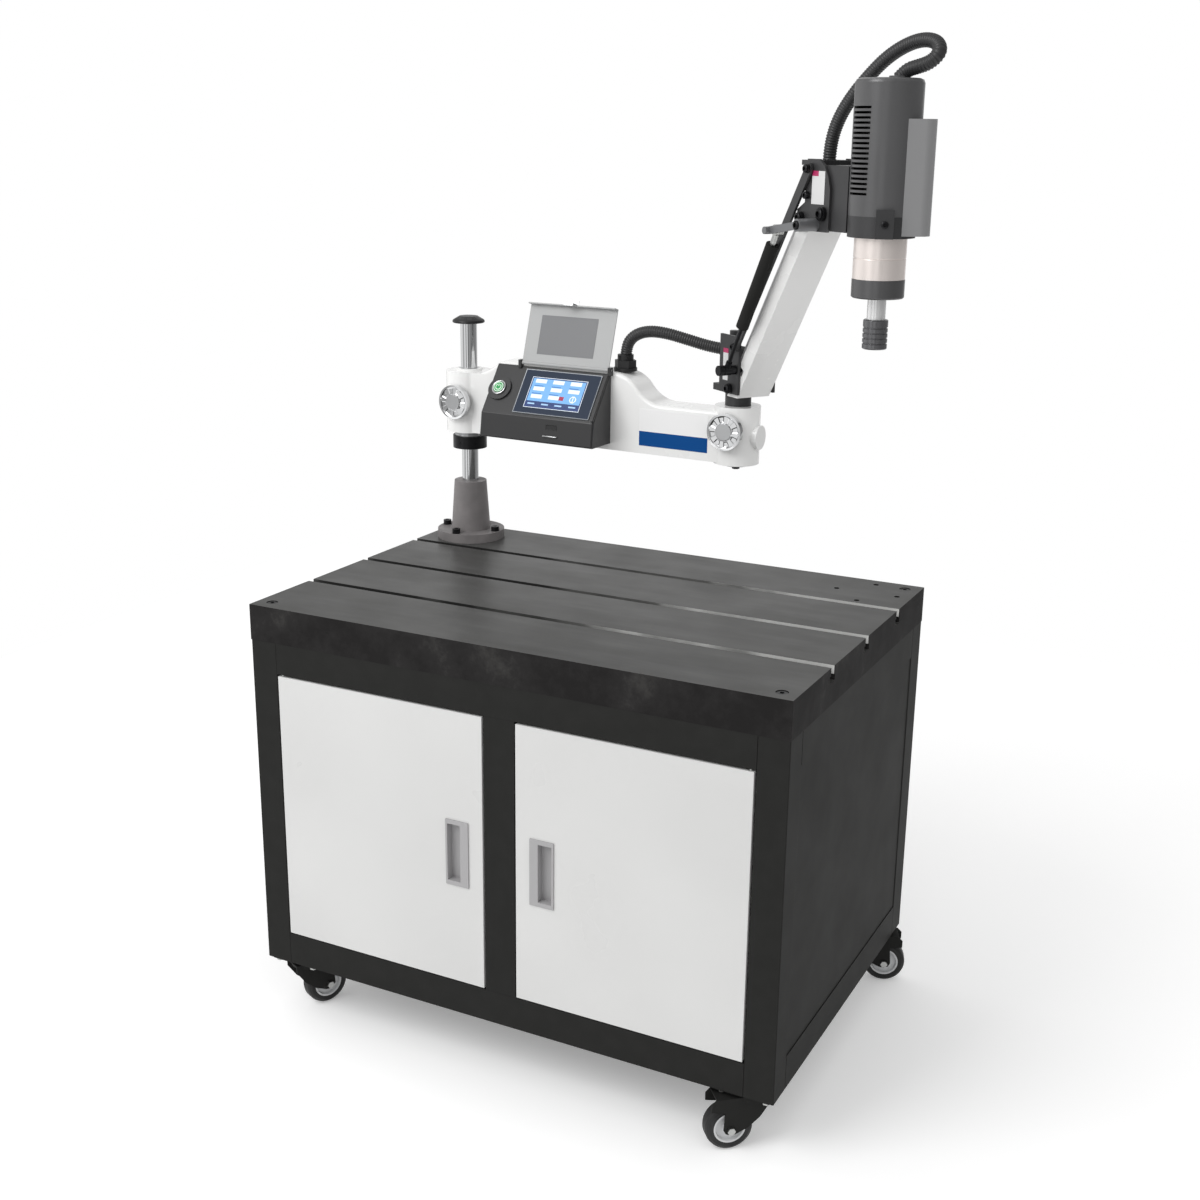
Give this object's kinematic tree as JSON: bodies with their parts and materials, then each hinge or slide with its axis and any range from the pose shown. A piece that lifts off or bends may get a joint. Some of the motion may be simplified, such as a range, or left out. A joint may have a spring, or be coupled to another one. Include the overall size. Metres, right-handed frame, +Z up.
{
  "type": "arm tapping machine on a cabinet bench",
  "caption": "Swing-arm electric tapping machine on a T-slot topped steel cabinet on casters: post column, hinged lift arm, motor head with quick-change chuck.",
  "frame": {"origin": "on the floor, below the centre of the worktop plate", "axes": "+Z up, +X to the right along the T-slots, -Y towards the person at the doors"},
  "size_m": [1.0762, 0.708, 1.7298],
  "materials": {
    "cast_plate": "machined and oiled, dark",
    "light_enamel": "satin enamel",
    "handle_grey": "satin grey",
    "dark_casting": "fine sand-cast, dark grey",
    "dark_enamel": "satin enamel",
    "white_enamel": "gloss enamel",
    "bright_steel": "turned",
    "black_steel": "blackened",
    "chrome": "polished",
    "bronze": "plain",
    "cast_alloy": "white painted cast surface",
    "motor_alloy": "dark satin",
    "black_plastic": "matt",
    "white_plastic": "smooth",
    "green_plastic": "smooth",
    "board": "bare board",
    "screen_glass": "dark front",
    "flap_plastic": "smoky, half clear",
    "tread": "matt",
    "conduit": "ribbed, matt"
  },
  "bodies": {
    "bench": {"worktop_plate": "cast_plate", "worktop_screws": "black_steel", "frame_posts": "dark_enamel", "frame_rails": "dark_enamel", "cabinet_panels": "dark_enamel", "floor_panel": "dark_enamel", "door_hinge_pins": "bright_steel", "caster_plates": "black_steel", "column_base": "dark_casting", "column_bolts": "black_steel", "column_post": "chrome", "column_cap": "black_plastic"},
    "left_door": {"door_left": "light_enamel", "door_left_handle": "handle_grey"},
    "right_door": {"door_right": "light_enamel", "door_right_handle": "handle_grey"},
    "height_stop": {"stop_collar": "black_steel", "thrust_bearing": "bright_steel"},
    "first_arm": {"arm_casting": "cast_alloy", "arm_bushes": "bronze", "control_box": "dark_enamel", "control_board": "board", "touch_screen": "screen_glass", "cable_gland": "black_plastic", "hose_lower": "conduit"},
    "button": {"power_button": "green_plastic"},
    "cover": {"screen_cover": "flap_plastic"},
    "clamp_knob": {"column_knob": "chrome"},
    "swivel_clamp_knob": {"swivel_knob": "chrome"},
    "swivel": {"swivel_bracket": "dark_enamel", "pivot_pins": "black_steel"},
    "lift_channel": {"main_arm": "white_enamel", "hose_middle": "conduit"},
    "lift_bar": {"upper_arm": "white_enamel"},
    "lift_stay": {"stay_link": "dark_enamel"},
    "spring_rod": {"gas_rod": "bright_steel"},
    "spring_tube": {"gas_cylinder": "dark_enamel"},
    "head": {"head_bracket": "dark_enamel", "head_pins": "black_steel", "gas_lever": "dark_enamel", "motor_housing": "motor_alloy", "motor_cover": "motor_alloy", "gearbox_housing": "bright_steel", "nose_ring": "black_steel", "hose_upper": "conduit"},
    "rotor": {"motor_rotor": "bright_steel"},
    "spindle": {"chuck_body": "bright_steel"},
    "release_sleeve": {"chuck_sleeve": "black_steel"},
    "caster_fl": {"caster_fl_fork": "black_steel"},
    "caster_fl_roller": {"caster_fl_wheel": "white_plastic", "caster_fl_tyre": "tread"},
    "caster_fr": {"caster_fr_fork": "black_steel"},
    "caster_fr_roller": {"caster_fr_wheel": "white_plastic", "caster_fr_tyre": "tread"},
    "caster_bl": {"caster_bl_fork": "black_steel"},
    "caster_bl_roller": {"caster_bl_wheel": "white_plastic", "caster_bl_tyre": "tread"},
    "caster_br": {"caster_br_fork": "black_steel"},
    "caster_br_roller": {"caster_br_wheel": "white_plastic", "caster_br_tyre": "tread"}
  },
  "joints": [
    {"name": "left_door_hinge", "type": "hinge", "parent": "bench", "child": "left_door", "pos_m": [-0.437, -0.335, 0.419], "axis": [0, 0, -1], "range_deg": [0, 110]},
    {"name": "right_door_hinge", "type": "hinge", "parent": "bench", "child": "right_door", "pos_m": [0.437, -0.335, 0.419], "axis": [0, 0, 1], "range_deg": [0, 110]},
    {"name": "caster_fl_swivel", "type": "hinge", "parent": "bench", "child": "caster_fl", "pos_m": [-0.445, -0.3, 0.09], "axis": [0, 0, 1], "continuous": true},
    {"name": "caster_fl_roll", "type": "hinge", "parent": "caster_fl", "child": "caster_fl_roller", "pos_m": [-0.42936, -0.26647, 0.04], "axis": [-0.9063, 0.4226, 0], "continuous": true},
    {"name": "caster_fr_swivel", "type": "hinge", "parent": "bench", "child": "caster_fr", "pos_m": [0.445, -0.3, 0.09], "axis": [0, 0, 1], "continuous": true},
    {"name": "caster_fr_roll", "type": "hinge", "parent": "caster_fr", "child": "caster_fr_roller", "pos_m": [0.41666, -0.32378, 0.04], "axis": [0.6428, -0.766, 0], "continuous": true},
    {"name": "caster_bl_swivel", "type": "hinge", "parent": "bench", "child": "caster_bl", "pos_m": [-0.445, 0.3, 0.09], "axis": [0, 0, 1], "continuous": true},
    {"name": "caster_bl_roll", "type": "hinge", "parent": "caster_bl", "child": "caster_bl_roller", "pos_m": [-0.47853, 0.31564, 0.04], "axis": [-0.4226, -0.9063, 0], "continuous": true},
    {"name": "caster_br_swivel", "type": "hinge", "parent": "bench", "child": "caster_br", "pos_m": [0.445, 0.3, 0.09], "axis": [0, 0, 1], "continuous": true},
    {"name": "caster_br_roll", "type": "hinge", "parent": "caster_br", "child": "caster_br_roller", "pos_m": [0.47977, 0.31266, 0.04], "axis": [-0.342, 0.9397, 0], "continuous": true},
    {"name": "height_slide", "type": "slide", "parent": "bench", "child": "height_stop", "axis": [0, 0, 1], "range_m": [-0.05, 0.08]},
    {"name": "arm_swing", "type": "hinge", "parent": "height_stop", "child": "first_arm", "pos_m": [-0.417, 0.257, 1.06], "axis": [0, 0, 1], "range_deg": [-170, 170]},
    {"name": "clamp_knob_turn", "type": "hinge", "parent": "first_arm", "child": "clamp_knob", "pos_m": [-0.41927, 0.20505, 1.071], "axis": [-0.0436, -0.999, 0], "range_deg": [0, 270]},
    {"name": "swivel_knob_turn", "type": "hinge", "parent": "first_arm", "child": "swivel_clamp_knob", "pos_m": [0.16318, 0.17962, 1.071], "axis": [-0.0436, -0.999, 0], "range_deg": [0, 270]},
    {"name": "cover_hinge", "type": "hinge", "parent": "first_arm", "child": "cover", "pos_m": [-0.17498, 0.20639, 1.159], "axis": [0.999, -0.0436, 0], "range_deg": [0, 150]},
    {"name": "button_press", "type": "slide", "parent": "first_arm", "child": "button", "axis": [0.0353, 0.8084, -0.5876], "range_m": [0, 0.003], "stiffness_N_per_m": 400, "springref_m": -0.002},
    {"name": "swivel_turn", "type": "hinge", "parent": "first_arm", "child": "swivel", "pos_m": [0.16545, 0.23157, 1.06], "axis": [0, 0, 1], "range_deg": [-90, 150], "deforming": ["hose_lower"]},
    {"name": "arm_lift", "type": "hinge", "parent": "swivel", "child": "lift_channel", "pos_m": [0.19166, 0.21321, 1.149], "axis": [-0.5736, -0.8192, 0], "range_deg": [-55, 4], "deforming": ["hose_middle"]},
    {"name": "bar_lift", "type": "hinge", "parent": "swivel", "child": "lift_bar", "pos_m": [0.19592, 0.19314, 1.184], "axis": [-0.5736, -0.8192, 0], "range_deg": [-55, 4]},
    {"name": "stay_lift", "type": "hinge", "parent": "swivel", "child": "lift_stay", "pos_m": [0.18379, 0.16623, 1.225], "axis": [-0.5736, -0.8192, 0], "range_deg": [-55, 4]},
    {"name": "head_level", "type": "hinge", "parent": "lift_channel", "child": "head", "pos_m": [0.35098, 0.10166, 1.45312], "axis": [-0.5736, -0.8192, 0], "range_deg": [-4, 55], "deforming": ["hose_upper"]},
    {"name": "spring_rod_tilt", "type": "hinge", "parent": "swivel", "child": "spring_rod", "pos_m": [0.17097, 0.15751, 1.184], "axis": [-0.5736, -0.8192, 0], "range_deg": [-69, 5]},
    {"name": "spring_tube_tilt", "type": "hinge", "parent": "head", "child": "spring_tube", "pos_m": [0.28646, 0.07664, 1.43112], "axis": [-0.5736, -0.8192, 0], "range_deg": [-69, 5]},
    {"name": "rotor_turn", "type": "hinge", "parent": "head", "child": "rotor", "pos_m": [0.48, 0.01132, 1.555], "axis": [0, 0, 1], "continuous": true},
    {"name": "spindle_turn", "type": "hinge", "parent": "head", "child": "spindle", "pos_m": [0.48, 0.01132, 1.35], "axis": [0, 0, 1], "continuous": true},
    {"name": "sleeve_lift", "type": "slide", "parent": "spindle", "child": "release_sleeve", "axis": [0, 0, 1], "range_m": [0, 0.006], "stiffness_N_per_m": 1500, "springref_m": -0.004}
  ],
  "couplings": [
    {"joint": "bar_lift", "follows": "arm_lift", "ratio": 1},
    {"joint": "stay_lift", "follows": "arm_lift", "ratio": 1},
    {"joint": "head_level", "follows": "arm_lift", "ratio": -1},
    {"joint": "spring_rod_tilt", "follows": "arm_lift", "ratio": 1.238},
    {"joint": "spring_tube_tilt", "follows": "arm_lift", "ratio": 1.238},
    {"joint": "spindle_turn", "follows": "rotor_turn", "ratio": 0.2}
  ]
}
